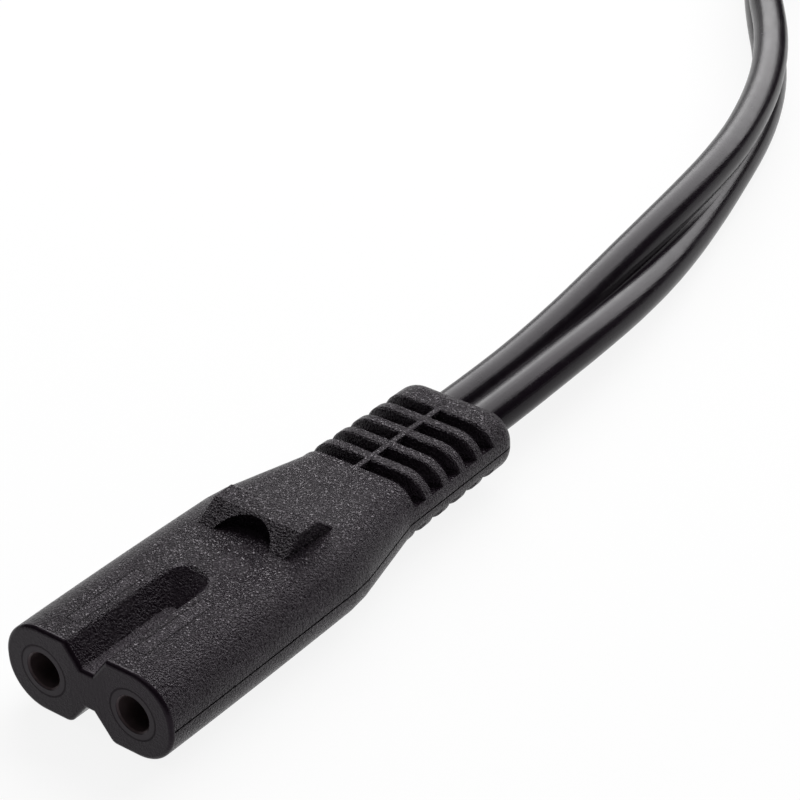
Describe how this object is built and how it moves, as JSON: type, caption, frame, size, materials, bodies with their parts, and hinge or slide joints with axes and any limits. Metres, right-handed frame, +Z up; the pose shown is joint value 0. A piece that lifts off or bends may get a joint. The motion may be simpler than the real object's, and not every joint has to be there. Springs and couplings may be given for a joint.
{
  "type": "power cord",
  "caption": "Flat two-core power cord with a two-hole figure-8 connector, its spare length in a tied hank, and a two-blade plug.",
  "frame": {"origin": "under the middle of the connector, on the surface that it rests on", "axes": "+X to the connector's right seen from behind, +Y from the connector's mouth to its cord, +Z up"},
  "size_m": [0.0575, 0.3013, 0.0286],
  "materials": {
    "moulded_pvc": "matte, fine grain",
    "insert_plastic": "matte",
    "contact_metal": "satin, pressed",
    "conductor_metal": "bright copper strands",
    "cord_jacket": "satin",
    "tie_strap": "woven",
    "blade_metal": "satin, nickel plated"
  },
  "bodies": {
    "root": {"connector_overmould": "moulded_pvc", "connector_insert": "insert_plastic", "contact_left": "contact_metal", "contact_right": "contact_metal", "conductor_left": "conductor_metal", "conductor_right": "conductor_metal", "cord_root": "cord_jacket", "cord_lead": "cord_jacket", "cord_hank": "cord_jacket", "hank_tie": "tie_strap", "cord_tail": "cord_jacket", "plug_overmould": "moulded_pvc", "plug_insert": "insert_plastic", "blade_left": "blade_metal", "blade_right": "blade_metal", "plug_conductor_left": "conductor_metal", "plug_conductor_right": "conductor_metal", "plug_cord_root": "cord_jacket"}
  },
  "joints": []
}
